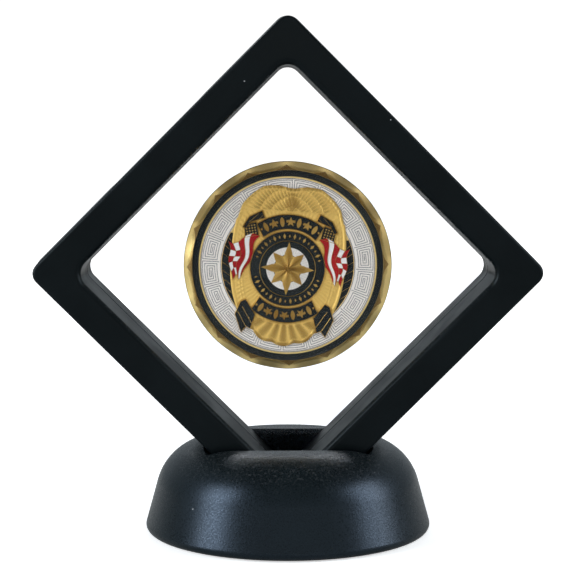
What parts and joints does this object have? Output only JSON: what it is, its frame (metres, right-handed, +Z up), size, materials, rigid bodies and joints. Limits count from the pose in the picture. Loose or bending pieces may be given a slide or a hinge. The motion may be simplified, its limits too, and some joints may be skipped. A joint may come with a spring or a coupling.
{
  "type": "coin display frame",
  "caption": "Square two-part film frame that holds a coin in its window, standing on one corner in the slot of a round domed base.",
  "frame": {"origin": "centre of the base's underside, on the table", "axes": "+Z up, +X to the right seen from the front, and the coin's face looks along -Y"},
  "size_m": [0.0966, 0.055, 0.0989],
  "materials": {
    "base_plastic": "fine grained satin black",
    "frame_plastic": "moulded satin black",
    "ring_plastic": "moulded black",
    "pad_rubber": "fine foam",
    "clear_film": "clear elastic film",
    "pin_steel": "drawn wire",
    "coin_gold": "bright gold plate",
    "coin_silver": "bright silver plate",
    "enamel_black": "soft enamel",
    "enamel_red": "soft enamel",
    "enamel_white": "soft enamel"
  },
  "bodies": {
    "base": {"base_shell": "base_plastic", "base_pad": "pad_rubber"},
    "rear_half": {"rear_frame": "frame_plastic", "rear_film_ring": "ring_plastic", "rear_film": "clear_film", "hinge_pin_lower": "pin_steel", "hinge_pin_upper": "pin_steel", "coin_blank": "coin_gold", "enamel_ring": "enamel_black", "key_ring": "coin_silver", "enamel_wedges": "enamel_black", "badge_relief": "coin_gold", "enamel_roundel": "enamel_black", "centre_relief": "coin_gold", "enamel_banners": "enamel_black", "enamel_drapes_red": "enamel_red", "enamel_drapes_white": "enamel_white"},
    "front_half": {"front_frame": "frame_plastic", "front_film_ring": "ring_plastic", "front_film": "clear_film"}
  },
  "joints": [
    {"name": "frame_lift", "type": "slide", "parent": "base", "child": "rear_half", "axis": [0, 0, 1], "range_m": [0, 0.11]},
    {"name": "frame_open", "type": "hinge", "parent": "rear_half", "child": "front_half", "pos_m": [0.02362, 0.0006, 0.02698], "axis": [0.7071, 0, 0.7071], "range_deg": [0, 110]}
  ],
  "couplings": [
    {"joint": "frame_open", "follows": "frame_lift", "rad_per_m": 17.453}
  ]
}
